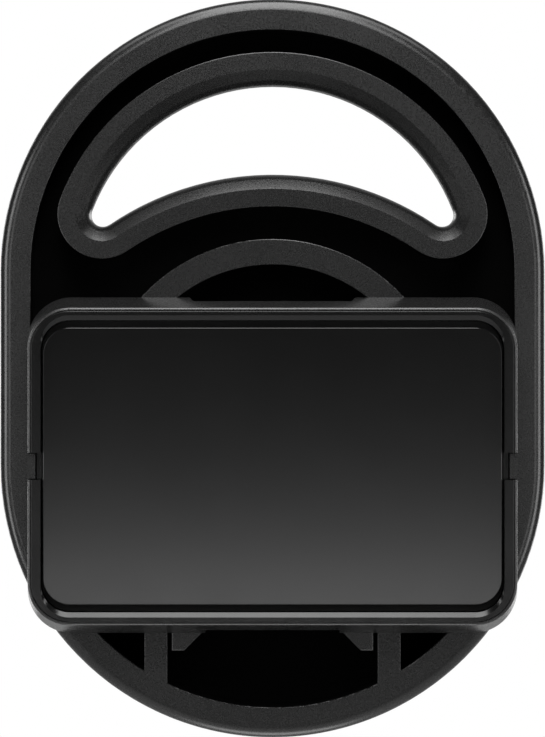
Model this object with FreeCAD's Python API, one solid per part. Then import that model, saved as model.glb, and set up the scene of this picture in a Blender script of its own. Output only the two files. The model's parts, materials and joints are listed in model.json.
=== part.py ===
"""Bike phone mount: a ribbed oval head with a phone holder, swivelling on a hinged handlebar clamp.

Millimetres. +X runs along the handlebar, +Z is up and the holder faces -Y. The origin is on the
handlebar's axis, in the middle of the clamp, straight behind the middle of the holder.
"""
import FreeCAD
import Part
import math
import os

from FreeCAD import Vector

# Head, seen from the front
HEAD_RADIUS = 31.0
HEAD_RISE = 22.0
RIM_WIDTH = 3.5
RIM_ROUND = 1.25
BACK_ROUND = 1.0
RIB_ROUND = 0.1

# Crescent finger loop, between an upper and a lower arc
LOOP_TOP_RADIUS = 22.1
LOOP_TOP_Z = 21.15
LOOP_LOW_RADIUS = 33.1
LOOP_TIP_RADIUS = 1.38
LOOP_CHAMFER = 1.7
LOOP_FLAT = 2.0
LOOP_ROUND = 2.0
LOOP_BACK_ROUND = 3.5

# Ring rib and the two struts below it
RING_Z = 5.5
RING_RADIUS = 20.2
RING_WIDTH = 2.9
STRUT_X = 13.25
STRUT_WIDTH = 2.6

# Head, from back to front
FLOOR_WALL = 2.4
POCKET_DEPTH = 6.0
WASHER_RECESS = 0.4

# Side seats and the lugs that key the holder
SEAT_HEIGHT = 5.0
SEAT_REACH = 2.0
LUG_HEIGHT = 2.8
LUG_WALL = 0.9
LUG_CLEARANCE = 0.12
LUG_SET_BACK = 0.8

# Holder tray
HOLDER_WIDTH = 55.6
HOLDER_HEIGHT = 38.1
HOLDER_CORNER = 5.0
HOLDER_TAPER_SIDE = 0.32
HOLDER_TAPER_END = 1.25
HOLDER_EDGE_ROUND = 0.26
HOLDER_LIP_SET_BACK = 0.1
HOLDER_FLOOR = 1.6
RELIEF_DEPTH = 0.45
TOP_RELIEF_WIDTH = 17.9
LEG_GAP = 0.5
LEG_FOOT = 1.42
LEG_DROP = 2.0
LEG_SLOPE = 2.4
LEG_ROOT = 4.0
LEG_DEPTH = 3.0
LEG_ROUND = 0.15

# Bezel and pad
BEZEL_STEP_SIDE = 0.38
BEZEL_STEP_END = 0.4
BEZEL_BAND_SIDE = 1.1
BEZEL_BAND_END = 1.0
BEZEL_THICKNESS = 0.8
BEZEL_CLEARANCE = 0.1
BEZEL_OUTER_ROUND = 0.06
BEZEL_SLOPE_SIDE = 0.06
BEZEL_SLOPE_END = 0.55
BEZEL_SLOPE_DEPTH = 0.26
SKIRT_WALL = 0.55
SKIRT_DEPTH = 2.5
SKIRT_BRIDGE = 1.2
SKIRT_CLEARANCE = 0.05
PAD_GAP_SIDE = 0.18
PAD_GAP_END = 0.8
PAD_THICKNESS = 1.0
PAD_RECESS = 0.8
PAD_ROUND = 0.12

# Magnets behind the pad
YOKE_THICKNESS = 0.8
MAGNET_RADIUS = 4.5
MAGNET_THICKNESS = 2.2
MAGNET_INSET_X = 12.9
MAGNET_INSET_Z = 8.9
MAGNET_COLUMNS = 3
MAGNET_ROWS = 2
MAGNET_CLEARANCE = 0.05
PLATE_CLEARANCE = 0.1

# Screws that hold the holder from behind
UPPER_SCREW_INSET = 3.4
LOWER_SCREW_INSET_X = 6.4
LOWER_SCREW_INSET_Z = 3.9
SCREW_RADIUS = 1.25
SCREW_BITE = 3.4
SCREW_HEAD_RADIUS = 2.3
SCREW_HEAD_HEIGHT = 1.6
SCREW_HEAD_SINK = 0.3
SCREW_CLEARANCE = 0.15
SCREW_FIT = 0.02
SCREW_END_GAP = 0.3
PILLAR_WALL = 1.3
BOSS_WALL = 1.1
BOSS_END_WALL = 0.5
BOSS_CLEARANCE = 0.3

# Swivel between head and clamp
SPIGOT_RADIUS = 6.5
SPIGOT_CLEARANCE = 0.05
FRICTION_RADIUS = 14.6
FRICTION_THICKNESS = 0.8
FRICTION_CLEARANCE = 0.3
SPRING_GAP = 1.2
SPRING_RADIUS = 9.8
SPRING_BORE_GAP = 0.4
SPRING_THICKNESS = 0.5
RETAINER_RADIUS = 10.5
RETAINER_THICKNESS = 1.2
SWIVEL_SCREW_RADIUS = 2.0
SWIVEL_SCREW_LENGTH = 6.5
SWIVEL_HEAD_RADIUS = 3.8
SWIVEL_HEAD_HEIGHT = 2.2
SWIVEL_HEAD_ROUND = 1.2
SWIVEL_SOCKET_RADIUS = 1.44
SWIVEL_SOCKET_DEPTH = 1.3
INSERT_WALL = 0.9
INSERT_LENGTH = 7.0
THREAD_FIT = 0.03

# Handlebar clamp
BAR_RADIUS = 15.9
LINER_WALL = 1.6
LINER_CLEARANCE = 0.05
LINER_LIP = 1.4
LINER_LIP_WIDTH = 1.0
LINER_END_GAP = 1.2
CLAMP_WALL = 4.0
CLAMP_WIDTH = 22.0
CLAMP_EDGE_ROUND = 0.6
SPLIT_GAP = 1.0
NECK_RADIUS = 10.5
NECK_LENGTH = 0.5
FLANGE_RADIUS = 15.0
FLANGE_THICKNESS = 3.0
FLANGE_ROUND = 0.6

# Hinge at the top of the clamp
HINGE_RISE = 1.0
KNUCKLE_RADIUS = 4.0
KNUCKLE_WIDTH = 7.8
KNUCKLE_CLEARANCE = 0.3
PIN_RADIUS = 2.0
PIN_RUNNING_FIT = 0.05
PIN_TIGHT_FIT = 0.02
PIN_HEAD_PROUD = 0.5
WEB_ANGLE = 36.0

# Bolt and knob at the bottom of the clamp
BOLT_DROP = 5.0
BOLT_RADIUS = 2.5
BOLT_HEAD_ACROSS = 8.0
BOLT_HEAD_HEIGHT = 3.5
BOLT_HEAD_SINK = 2.0
BOLT_HEAD_CLEARANCE = 0.1
BOLT_CLEARANCE = 0.05
EAR_GAP = 3.0
EAR_THICKNESS = 6.8
EAR_RADIUS = 6.0
FORK_CLEARANCE = 0.35
THRUST_RADIUS = 5.0
THRUST_THICKNESS = 1.0
THRUST_CLEARANCE = 0.2
KNOB_RADIUS = 7.0
KNOB_LENGTH = 12.0
KNOB_ROUND = 1.2
KNOB_COLLAR_RADIUS = 5.2
KNOB_COLLAR_LENGTH = 1.5
KNOB_FLUTES = 8
KNOB_FLUTE_RADIUS = 2.2
KNOB_FLUTE_DEPTH = 0.9
KNOB_END_WALL = 1.5
KNOB_INSERT_WALL = 1.1
KNOB_INSERT_LENGTH = 8.0
KNOB_BORE_CLEARANCE = 0.3
BOLT_END_GAP = 0.5

# How near two things lie to count as touching when edges are picked
TOUCH = 1e-4
FULL_TURN = 360.0

# Depth stations worked out from the handlebar forward
SEAT_RADIUS = BAR_RADIUS + LINER_WALL + LINER_CLEARANCE
CLAMP_RADIUS = SEAT_RADIUS + CLAMP_WALL
CLAMP_MIDDLE = SEAT_RADIUS + CLAMP_WALL / 2
FLANGE_BACK = -(CLAMP_RADIUS + NECK_LENGTH)
FLANGE_FRONT = FLANGE_BACK - FLANGE_THICKNESS
RECESS_FLOOR = FLANGE_FRONT - FRICTION_THICKNESS
BODY_BACK = RECESS_FLOOR + WASHER_RECESS
FLOOR_FRONT = BODY_BACK - FLOOR_WALL
RIM_FRONT = FLOOR_FRONT - POCKET_DEPTH
SPIGOT_END = FLOOR_FRONT - SPRING_GAP
RETAINER_FRONT = SPIGOT_END - RETAINER_THICKNESS
TRAY_FLOOR = RIM_FRONT - HOLDER_FLOOR
YOKE_FRONT = TRAY_FLOOR - YOKE_THICKNESS
MAGNET_FRONT = YOKE_FRONT - MAGNET_THICKNESS
PAD_FRONT = MAGNET_FRONT - PAD_THICKNESS
BEZEL_FRONT = PAD_FRONT - PAD_RECESS
LIP_FRONT = BEZEL_FRONT + HOLDER_LIP_SET_BACK
BEZEL_BACK = BEZEL_FRONT + BEZEL_THICKNESS
SKIRT_END = BEZEL_BACK + SKIRT_DEPTH

# Holder outlines worked out from the tray inward
FRONT_WIDTH = HOLDER_WIDTH - 2 * HOLDER_TAPER_SIDE
FRONT_HEIGHT = HOLDER_HEIGHT - 2 * HOLDER_TAPER_END
FRONT_CORNER = HOLDER_CORNER - HOLDER_TAPER_SIDE
BEZEL_WIDTH = FRONT_WIDTH - 2 * BEZEL_STEP_SIDE
BEZEL_HEIGHT = FRONT_HEIGHT - 2 * BEZEL_STEP_END
BEZEL_CORNER = FRONT_CORNER - BEZEL_STEP_SIDE
OPENING_WIDTH = BEZEL_WIDTH - 2 * BEZEL_BAND_SIDE
OPENING_HEIGHT = BEZEL_HEIGHT - 2 * BEZEL_BAND_END
OPENING_CORNER = BEZEL_CORNER - BEZEL_BAND_SIDE
MOUTH_WIDTH = OPENING_WIDTH + 2 * BEZEL_SLOPE_SIDE
MOUTH_HEIGHT = OPENING_HEIGHT + 2 * BEZEL_SLOPE_END
MOUTH_CORNER = OPENING_CORNER + BEZEL_SLOPE_SIDE
PAD_WIDTH = OPENING_WIDTH - 2 * PAD_GAP_SIDE
PAD_HEIGHT = OPENING_HEIGHT - 2 * PAD_GAP_END
PAD_CORNER = OPENING_CORNER - PAD_GAP_SIDE
RELIEF_Z = HOLDER_HEIGHT / 2 - RELIEF_DEPTH
RIM_INNER = HEAD_RADIUS - RIM_WIDTH
RIM_MIDDLE = HEAD_RADIUS - RIM_WIDTH / 2
RING_INNER = RING_RADIUS - RING_WIDTH
STRUT_INNER = STRUT_X - STRUT_WIDTH / 2
STRUT_OUTER = STRUT_X + STRUT_WIDTH / 2
LUG_INNER = OPENING_WIDTH / 2 + SKIRT_WALL + LUG_CLEARANCE
NOTCH_INNER = LUG_INNER - LUG_CLEARANCE
NOTCH_HEIGHT = LUG_HEIGHT + 2 * LUG_CLEARANCE

# Clamp places worked out from its radius
HINGE_Z = CLAMP_RADIUS + HINGE_RISE
BOLT_Z = -(CLAMP_RADIUS + BOLT_DROP)
EAR_FACE = EAR_GAP / 2
EAR_BACK = EAR_FACE + EAR_THICKNESS
KNOB_FACE = EAR_BACK + THRUST_THICKNESS
KNOB_END = KNOB_FACE + KNOB_LENGTH
BOLT_END = KNOB_END - KNOB_END_WALL - BOLT_END_GAP
BOLT_SEAT = -EAR_BACK + BOLT_HEAD_SINK
LINER_HALF = CLAMP_WIDTH / 2 + LINER_LIP_WIDTH

# Screws and magnets, set in from the sides of the tray
UPPER_SCREW_X = OPENING_WIDTH / 2 - UPPER_SCREW_INSET
UPPER_SCREW_Z = OPENING_HEIGHT / 2 - UPPER_SCREW_INSET
LOWER_SCREW_X = OPENING_WIDTH / 2 - LOWER_SCREW_INSET_X
LOWER_SCREW_Z = LOWER_SCREW_INSET_Z - OPENING_HEIGHT / 2
SCREW_SPOTS = [
    (UPPER_SCREW_X, UPPER_SCREW_Z),
    (-UPPER_SCREW_X, UPPER_SCREW_Z),
    (LOWER_SCREW_X, LOWER_SCREW_Z),
    (-LOWER_SCREW_X, LOWER_SCREW_Z),
]
MAGNET_REACH_X = OPENING_WIDTH / 2 - MAGNET_INSET_X
MAGNET_REACH_Z = OPENING_HEIGHT / 2 - MAGNET_INSET_Z
SIDES = (-1, 1)


def along_y(radius, back, front, x=0.0, z=0.0):
    """A round bar along Y, from its back to its front."""
    return Part.makeCylinder(radius, back - front, Vector(x, front, z), Vector(0, 1, 0))


def along_x(radius, left, right, y=0.0, z=0.0):
    """A round bar along X."""
    return Part.makeCylinder(radius, right - left, Vector(left, y, z), Vector(1, 0, 0))


def block(x_range, y_range, z_range):
    """A box between the two ends of each range."""
    low = [min(pair) for pair in (x_range, y_range, z_range)]
    high = [max(pair) for pair in (x_range, y_range, z_range)]
    sizes = [b - a for a, b in zip(low, high)]
    return Part.makeBox(*sizes, Vector(*low))


def side_block(side, inner, outer, y_range, half_height):
    """A box on one side of the head, from an inner to an outer distance, level with the holder's middle."""
    return block((side * inner, side * outer), y_range, (-half_height, half_height))


def prism(wire, back, front):
    """A flat outline drawn at the back, drawn out to the front."""
    return Part.Face(wire).extrude(Vector(0, front - back, 0))


def polygon(points):
    """A closed wire through the points."""
    return Part.makePolygon([*points, points[0]])


def arc_chain(curves):
    """A wire of curves that follow one another."""
    return Part.Wire([curve.toShape() for curve in curves])


def on_wire(edge, wire):
    """Whether an edge's middle and ends lie on a wire."""
    middle = edge.valueAt((edge.FirstParameter + edge.LastParameter) / 2)
    points = [middle, *(vertex.Point for vertex in edge.Vertexes)]
    return all(wire.distToShape(Part.Vertex(point))[0] < TOUCH for point in points)


def round_along(shape, wire, radius):
    """Rounds the edges of a shape that lie on a wire."""
    edges = [edge for edge in shape.Edges if on_wire(edge, wire)]
    return shape.makeFillet(radius, edges)


def stadium(radius, y):
    """The head's outline, two half circles joined by straight sides."""
    top = HEAD_RISE
    return arc_chain([
        Part.Arc(Vector(-radius, y, 0), Vector(0, y, -radius), Vector(radius, y, 0)),
        Part.LineSegment(Vector(radius, y, 0), Vector(radius, y, top)),
        Part.Arc(Vector(radius, y, top), Vector(0, y, top + radius), Vector(-radius, y, top)),
        Part.LineSegment(Vector(-radius, y, top), Vector(-radius, y, 0)),
    ])


def rounded_rectangle(width, height, corner, y):
    """A rectangle with round corners, about the holder's middle."""
    x = width / 2
    z = height / 2
    cut = corner * (1 - math.sqrt(2) / 2)
    corners = [(1, 1), (-1, 1), (-1, -1), (1, -1)]
    curves = []
    for number, (right, up) in enumerate(corners):
        upright = Vector(right * x, y, up * (z - corner))
        level = Vector(right * (x - corner), y, up * z)
        start, end = (upright, level) if right == up else (level, upright)
        bend = Vector(right * (x - cut), y, up * (z - cut))
        curves.append(Part.Arc(start, bend, end))
        next_right, next_up = corners[(number + 1) % len(corners)]
        if right == up:
            following = Vector(next_right * (x - corner), y, next_up * z)
        else:
            following = Vector(next_right * x, y, next_up * (z - corner))
        curves.append(Part.LineSegment(end, following))
    return arc_chain(curves)


def loop_tip():
    """Centre of the crescent's right tip, inside the upper arc's circle and outside the lower one's."""
    top_reach = LOOP_TOP_RADIUS - LOOP_TIP_RADIUS
    low_reach = LOOP_LOW_RADIUS + LOOP_TIP_RADIUS
    z = (low_reach ** 2 - top_reach ** 2 + LOOP_TOP_Z ** 2) / (2 * LOOP_TOP_Z)
    return Vector(math.sqrt(low_reach ** 2 - z ** 2), 0, z)


def crescent(grow, y):
    """The crescent's outline, grown outward by a distance."""
    depth = Vector(0, y, 0)
    tip = loop_tip()
    top_centre = Vector(0, 0, LOOP_TOP_Z)
    top_way = (tip - top_centre).normalize()
    low_way = Vector(tip).normalize()
    out_way = (top_way - low_way).normalize()
    top_radius = LOOP_TOP_RADIUS + grow
    low_radius = LOOP_LOW_RADIUS - grow
    top_right = top_centre + top_way * top_radius + depth
    low_right = low_way * low_radius + depth
    tip_right = tip + out_way * (LOOP_TIP_RADIUS + grow) + depth
    top_left, low_left, tip_left = (Vector(-p.x, p.y, p.z) for p in (top_right, low_right, tip_right))
    top_middle = Vector(0, y, LOOP_TOP_Z + top_radius)
    low_middle = Vector(0, y, low_radius)
    return arc_chain([
        Part.Arc(top_left, top_middle, top_right),
        Part.Arc(top_right, tip_right, low_right),
        Part.Arc(low_right, low_middle, low_left),
        Part.Arc(low_left, tip_left, top_left),
    ])


def half_space(side):
    """The space on one side of the clamp's split, as a box that holds any clamp half."""
    reach = 2 * (CLAMP_RADIUS + FLANGE_RADIUS)
    return block((-reach, reach), (side * SPLIT_GAP / 2, side * reach), (-reach, reach))


def head_shell():
    """The open oval dish with its rounded rim."""
    shell = prism(stadium(HEAD_RADIUS, BODY_BACK), BODY_BACK, RIM_FRONT)
    shell = round_along(shell, stadium(HEAD_RADIUS, RIM_FRONT), RIM_ROUND)
    shell = round_along(shell, stadium(HEAD_RADIUS, BODY_BACK), BACK_ROUND)
    shell = shell.cut(prism(stadium(RIM_INNER, FLOOR_FRONT), FLOOR_FRONT, RIM_FRONT))
    return round_along(shell, stadium(RIM_INNER, RIM_FRONT), RIB_ROUND)


def loop_rim():
    """The raised rim around the crescent."""
    grow = LOOP_CHAMFER + LOOP_FLAT
    rim = prism(crescent(grow, FLOOR_FRONT), FLOOR_FRONT, RIM_FRONT)
    return round_along(rim, crescent(grow, RIM_FRONT), RIB_ROUND)


def ring_rib():
    """The round rib behind the holder."""
    rib = along_y(RING_RADIUS, FLOOR_FRONT, RIM_FRONT, z=RING_Z)
    rib = rib.cut(along_y(RING_INNER, FLOOR_FRONT, RIM_FRONT, z=RING_Z))
    edges = [edge for edge in rib.Edges if edge.BoundBox.YMax < RIM_FRONT + TOUCH]
    return rib.makeFillet(RIB_ROUND, edges)


def strut(side):
    """An upright rib from the ring down into the rim."""
    middle_radius = RING_RADIUS - RING_WIDTH / 2
    top = RING_Z - math.sqrt(middle_radius ** 2 - STRUT_X ** 2)
    bottom = -math.sqrt(RIM_MIDDLE ** 2 - STRUT_OUTER ** 2)
    rib = block((side * STRUT_INNER, side * STRUT_OUTER), (FLOOR_FRONT, RIM_FRONT), (bottom, top))
    edges = [edge for edge in rib.Edges
             if edge.BoundBox.YMax < RIM_FRONT + TOUCH and edge.BoundBox.ZLength > TOUCH]
    return rib.makeFillet(RIB_ROUND, edges)


def side_seat(side):
    """A pad beside the rim that the holder rests on, with the lug that keys it."""
    half = SEAT_HEIGHT / 2
    seat = side_block(side, RIM_INNER - SEAT_REACH, RIM_MIDDLE, (FLOOR_FRONT, RIM_FRONT), half)
    lug_y = (FLOOR_FRONT, BEZEL_FRONT + LUG_SET_BACK)
    lug = side_block(side, LUG_INNER, LUG_INNER + LUG_WALL, lug_y, LUG_HEIGHT / 2)
    return seat.fuse(lug)


def screw_pillars():
    """Pillars that carry the holder screws through the head."""
    radius = SCREW_RADIUS + SCREW_CLEARANCE + PILLAR_WALL
    return [along_y(radius, FLOOR_FRONT, RIM_FRONT, x, z) for x, z in SCREW_SPOTS]


def screw_passages():
    """Screw holes through the head, wider at the back for the heads."""
    head_seat = BODY_BACK - SCREW_HEAD_SINK - SCREW_HEAD_HEIGHT
    tools = []
    for x, z in SCREW_SPOTS:
        tools.append(along_y(SCREW_RADIUS + SCREW_CLEARANCE, BODY_BACK, RIM_FRONT, x, z))
        tools.append(along_y(SCREW_HEAD_RADIUS + SCREW_CLEARANCE, BODY_BACK, head_seat, x, z))
    return tools


def cut_loop(body):
    """Cuts the crescent through the head, with a bevelled and rounded lip in front and a round one behind."""
    body = body.cut(prism(crescent(0, BODY_BACK), BODY_BACK, RIM_FRONT))
    front = crescent(0, RIM_FRONT)
    lip = [edge for edge in body.Edges if on_wire(edge, front)]
    body = body.makeChamfer(LOOP_CHAMFER, lip)
    body = round_along(body, crescent(0, RIM_FRONT + LOOP_CHAMFER), LOOP_ROUND)
    return round_along(body, crescent(0, BODY_BACK), LOOP_BACK_ROUND)


def body_frame():
    """The head: one moulding with floor, rim, loop, ring, struts, seats and pillars."""
    ribs = [loop_rim(), ring_rib(), *screw_pillars()]
    for side in SIDES:
        ribs.append(strut(side))
        ribs.append(side_seat(side))
    body = head_shell().fuse(ribs).removeSplitter()
    body = cut_loop(body)
    recess = along_y(FRICTION_RADIUS + FRICTION_CLEARANCE, BODY_BACK, RECESS_FLOOR)
    bore = along_y(SPIGOT_RADIUS + SPIGOT_CLEARANCE, BODY_BACK, FLOOR_FRONT)
    return body.cut([recess, bore, *screw_passages()])


def grown_rectangle(width, height, corner, grow, y):
    """A rectangle with round corners, grown outward by a distance."""
    return rounded_rectangle(width + 2 * grow, height + 2 * grow, corner + grow, y)


def tray_shell():
    """The holder's tray, wider at the back, with a lip round the bezel and ledges behind it."""
    rear = rounded_rectangle(HOLDER_WIDTH, HOLDER_HEIGHT, HOLDER_CORNER, RIM_FRONT)
    front = rounded_rectangle(FRONT_WIDTH, FRONT_HEIGHT, FRONT_CORNER, LIP_FRONT)
    shell = Part.makeLoft([rear, front], True, True)
    shell = round_along(shell, front, HOLDER_EDGE_ROUND)
    cavity = rounded_rectangle(OPENING_WIDTH, OPENING_HEIGHT, OPENING_CORNER, TRAY_FLOOR)
    skirt_seat = SKIRT_END + SKIRT_CLEARANCE
    skirt_room = grown_rectangle(OPENING_WIDTH, OPENING_HEIGHT, OPENING_CORNER,
                                 SKIRT_WALL + SKIRT_CLEARANCE, skirt_seat)
    bezel_room = grown_rectangle(BEZEL_WIDTH, BEZEL_HEIGHT, BEZEL_CORNER, BEZEL_CLEARANCE, BEZEL_BACK)
    return shell.cut([
        prism(cavity, TRAY_FLOOR, LIP_FRONT),
        prism(skirt_room, skirt_seat, LIP_FRONT),
        prism(bezel_room, BEZEL_BACK, LIP_FRONT),
    ])


def top_relief():
    """A shallow relief in the tray's rear top edge, with sloping ends."""
    inner = TOP_RELIEF_WIDTH / 2
    outer = inner + RELIEF_DEPTH
    top = HOLDER_HEIGHT / 2
    outline = polygon([
        Vector(-inner, RIM_FRONT, RELIEF_Z),
        Vector(inner, RIM_FRONT, RELIEF_Z),
        Vector(outer, RIM_FRONT, top),
        Vector(-outer, RIM_FRONT, top),
    ])
    return prism(outline, RIM_FRONT, LIP_FRONT)


def leg_points():
    """The outline of the right-hand leg, which stands inside its strut."""
    outer = STRUT_INNER - LEG_GAP
    foot = outer - LEG_FOOT
    inner = foot - LEG_SLOPE
    bottom = -(HOLDER_HEIGHT / 2 + LEG_DROP)
    slope_top = bottom + LEG_SLOPE
    root = slope_top + LEG_ROOT
    return [(outer, root), (outer, bottom), (foot, bottom), (inner, slope_top), (inner, root)]


def leg(side):
    """A leg on the tray's back, reaching down between the struts."""
    outline = polygon([Vector(side * x, RIM_FRONT + LEG_DEPTH, z) for x, z in leg_points()])
    solid = prism(outline, RIM_FRONT + LEG_DEPTH, RIM_FRONT)
    edges = [edge for edge in solid.Edges
             if edge.BoundBox.YMax < RIM_FRONT + TOUCH and edge.BoundBox.ZMin < -HOLDER_HEIGHT / 2]
    return solid.makeFillet(LEG_ROUND, edges)


def low_relief():
    """The relief in the tray's rear bottom edge, between the legs."""
    inner = leg_points()[-1][0]
    return block((-inner, inner), (RIM_FRONT, LIP_FRONT), (-RELIEF_Z, -HOLDER_HEIGHT / 2))


def holder_notch(side, front):
    """The notch that a lug stands in, cut through the holder's side."""
    return side_block(side, NOTCH_INNER, HOLDER_WIDTH / 2, (RIM_FRONT, front), NOTCH_HEIGHT / 2)


def screw_bosses():
    """Blind bosses inside the tray for the holder screws."""
    radius = SCREW_RADIUS + SCREW_FIT + BOSS_WALL
    end = RIM_FRONT - SCREW_BITE - BOSS_END_WALL
    return [along_y(radius, RIM_FRONT, end, x, z) for x, z in SCREW_SPOTS]


def screw_pilots():
    """The holes in the bosses."""
    radius = SCREW_RADIUS + SCREW_FIT
    return [along_y(radius, RIM_FRONT, RIM_FRONT - SCREW_BITE, x, z) for x, z in SCREW_SPOTS]


def holder_base():
    """The tray with its reliefs, side notches, legs and screw bosses."""
    tray = tray_shell().cut([top_relief(), low_relief()])
    tray = tray.cut([holder_notch(side, LIP_FRONT) for side in SIDES])
    tray = tray.fuse([*screw_bosses(), *(leg(side) for side in SIDES)])
    return tray.cut(screw_pilots()).removeSplitter()


def bezel_mouth():
    """The flare of the bezel's opening, a slope at the top and bottom and steep at the sides."""
    inner = rounded_rectangle(OPENING_WIDTH, OPENING_HEIGHT, OPENING_CORNER, BEZEL_FRONT + BEZEL_SLOPE_DEPTH)
    outer = rounded_rectangle(MOUTH_WIDTH, MOUTH_HEIGHT, MOUTH_CORNER, BEZEL_FRONT)
    return Part.makeLoft([inner, outer], True, True)


def bezel():
    """The frame inside the tray's lip, with a skirt inside the tray and a notch over each lug."""
    outline = rounded_rectangle(BEZEL_WIDTH, BEZEL_HEIGHT, BEZEL_CORNER, BEZEL_BACK)
    frame = prism(outline, BEZEL_BACK, BEZEL_FRONT)
    skirt = grown_rectangle(OPENING_WIDTH, OPENING_HEIGHT, OPENING_CORNER, SKIRT_WALL, SKIRT_END)
    frame = frame.fuse(prism(skirt, SKIRT_END, BEZEL_BACK))
    front_outer = rounded_rectangle(BEZEL_WIDTH, BEZEL_HEIGHT, BEZEL_CORNER, BEZEL_FRONT)
    frame = round_along(frame.removeSplitter(), front_outer, BEZEL_OUTER_ROUND)
    opening = rounded_rectangle(OPENING_WIDTH, OPENING_HEIGHT, OPENING_CORNER, SKIRT_END)
    frame = frame.cut([prism(opening, SKIRT_END, BEZEL_FRONT), bezel_mouth()])
    bridge_front = SKIRT_END - SKIRT_BRIDGE
    for side in SIDES:
        over_bridge = side_block(side, OPENING_WIDTH / 2 - SKIRT_WALL, HOLDER_WIDTH / 2,
                                 (bridge_front, BEZEL_FRONT), NOTCH_HEIGHT / 2)
        frame = frame.cut([holder_notch(side, BEZEL_FRONT), over_bridge])
    return frame


def grip_pad():
    """The pad inside the bezel that the phone's plate rests on."""
    outline = rounded_rectangle(PAD_WIDTH, PAD_HEIGHT, PAD_CORNER, MAGNET_FRONT)
    pad = prism(outline, MAGNET_FRONT, PAD_FRONT)
    return round_along(pad, rounded_rectangle(PAD_WIDTH, PAD_HEIGHT, PAD_CORNER, PAD_FRONT), PAD_ROUND)


def inner_plate(back, front):
    """A plate that fills the tray, with holes for the screw bosses."""
    shrink = 2 * PLATE_CLEARANCE
    outline = rounded_rectangle(OPENING_WIDTH - shrink, OPENING_HEIGHT - shrink,
                                OPENING_CORNER - PLATE_CLEARANCE, back)
    radius = SCREW_RADIUS + SCREW_FIT + BOSS_WALL + BOSS_CLEARANCE
    return prism(outline, back, front).cut([along_y(radius, back, front, x, z) for x, z in SCREW_SPOTS])


def spread(count, reach):
    """Evenly spaced places from one end of a reach to the other."""
    step = 2 * reach / (count - 1)
    return [number * step - reach for number in range(count)]


def magnet_spots():
    """Middles of the magnets, row by row."""
    columns = spread(MAGNET_COLUMNS, MAGNET_REACH_X)
    rows = spread(MAGNET_ROWS, MAGNET_REACH_Z)
    return [(x, z) for z in rows for x in columns]


def yoke_plate():
    """The steel plate behind the magnets."""
    return inner_plate(TRAY_FLOOR, YOKE_FRONT)


def magnet_carrier():
    """The plate that spaces the magnets."""
    radius = MAGNET_RADIUS + MAGNET_CLEARANCE
    holes = [along_y(radius, YOKE_FRONT, MAGNET_FRONT, x, z) for x, z in magnet_spots()]
    return inner_plate(YOKE_FRONT, MAGNET_FRONT).cut(holes)


def magnets():
    """The magnets, each a piece of its own."""
    pieces = {}
    for number, (x, z) in enumerate(magnet_spots(), start=1):
        pieces[f"magnet_{number}"] = along_y(MAGNET_RADIUS, YOKE_FRONT, MAGNET_FRONT, x, z)
    return pieces


def holder_screws():
    """The four screws that hold the tray on the head."""
    head_seat = BODY_BACK - SCREW_HEAD_SINK - SCREW_HEAD_HEIGHT
    screws = []
    for x, z in SCREW_SPOTS:
        shank = along_y(SCREW_RADIUS, head_seat, RIM_FRONT - SCREW_BITE + SCREW_END_GAP, x, z)
        head = along_y(SCREW_HEAD_RADIUS, BODY_BACK - SCREW_HEAD_SINK, head_seat, x, z)
        screws.append(shank.fuse(head).removeSplitter())
    return Part.makeCompound(screws)


def friction_washer():
    """The plastic washer that the head turns on."""
    disc = along_y(FRICTION_RADIUS, FLANGE_FRONT, RECESS_FLOOR)
    return disc.cut(along_y(SPIGOT_RADIUS + SPIGOT_CLEARANCE, FLANGE_FRONT, RECESS_FLOOR))


def disc_spring():
    """The coned spring that presses the head against the friction washer."""
    inner = SPIGOT_RADIUS + SPRING_BORE_GAP
    rise = SPRING_GAP - SPRING_THICKNESS
    profile = polygon([
        Vector(inner, FLOOR_FRONT - rise, 0),
        Vector(SPRING_RADIUS, FLOOR_FRONT, 0),
        Vector(SPRING_RADIUS, FLOOR_FRONT - SPRING_THICKNESS, 0),
        Vector(inner, SPIGOT_END, 0),
    ])
    return Part.Face(profile).revolve(Vector(0, 0, 0), Vector(0, 1, 0), FULL_TURN)


def retaining_washer():
    """The steel washer on the spigot's end."""
    disc = along_y(RETAINER_RADIUS, SPIGOT_END, RETAINER_FRONT)
    return disc.cut(along_y(SWIVEL_SCREW_RADIUS + SCREW_CLEARANCE, SPIGOT_END, RETAINER_FRONT))


def swivel_screw():
    """The button-head screw in the spigot, with a hexagon socket."""
    front = RETAINER_FRONT - SWIVEL_HEAD_HEIGHT
    head = along_y(SWIVEL_HEAD_RADIUS, RETAINER_FRONT, front)
    edges = [edge for edge in head.Edges if edge.BoundBox.YMax < front + TOUCH]
    head = head.makeFillet(SWIVEL_HEAD_ROUND, edges)
    socket = hexagon(SWIVEL_SOCKET_RADIUS, front + SWIVEL_SOCKET_DEPTH, front)
    shank = along_y(SWIVEL_SCREW_RADIUS, SPIGOT_END + SWIVEL_SCREW_LENGTH, RETAINER_FRONT)
    return head.cut(socket).fuse(shank).removeSplitter()


def hexagon(radius, back, front, z=0.0):
    """A six-sided bar along Y."""
    sides = 6
    points = []
    for corner in range(sides):
        angle = math.radians(corner * FULL_TURN / sides)
        points.append(Vector(radius * math.cos(angle), back, z + radius * math.sin(angle)))
    return prism(polygon(points), back, front)


def spigot_insert():
    """The threaded brass insert in the spigot."""
    sleeve = along_y(SWIVEL_SCREW_RADIUS + INSERT_WALL, SPIGOT_END + INSERT_LENGTH, SPIGOT_END)
    return sleeve.cut(along_y(SWIVEL_SCREW_RADIUS + THREAD_FIT, SPIGOT_END + INSERT_LENGTH, SPIGOT_END))


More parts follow.
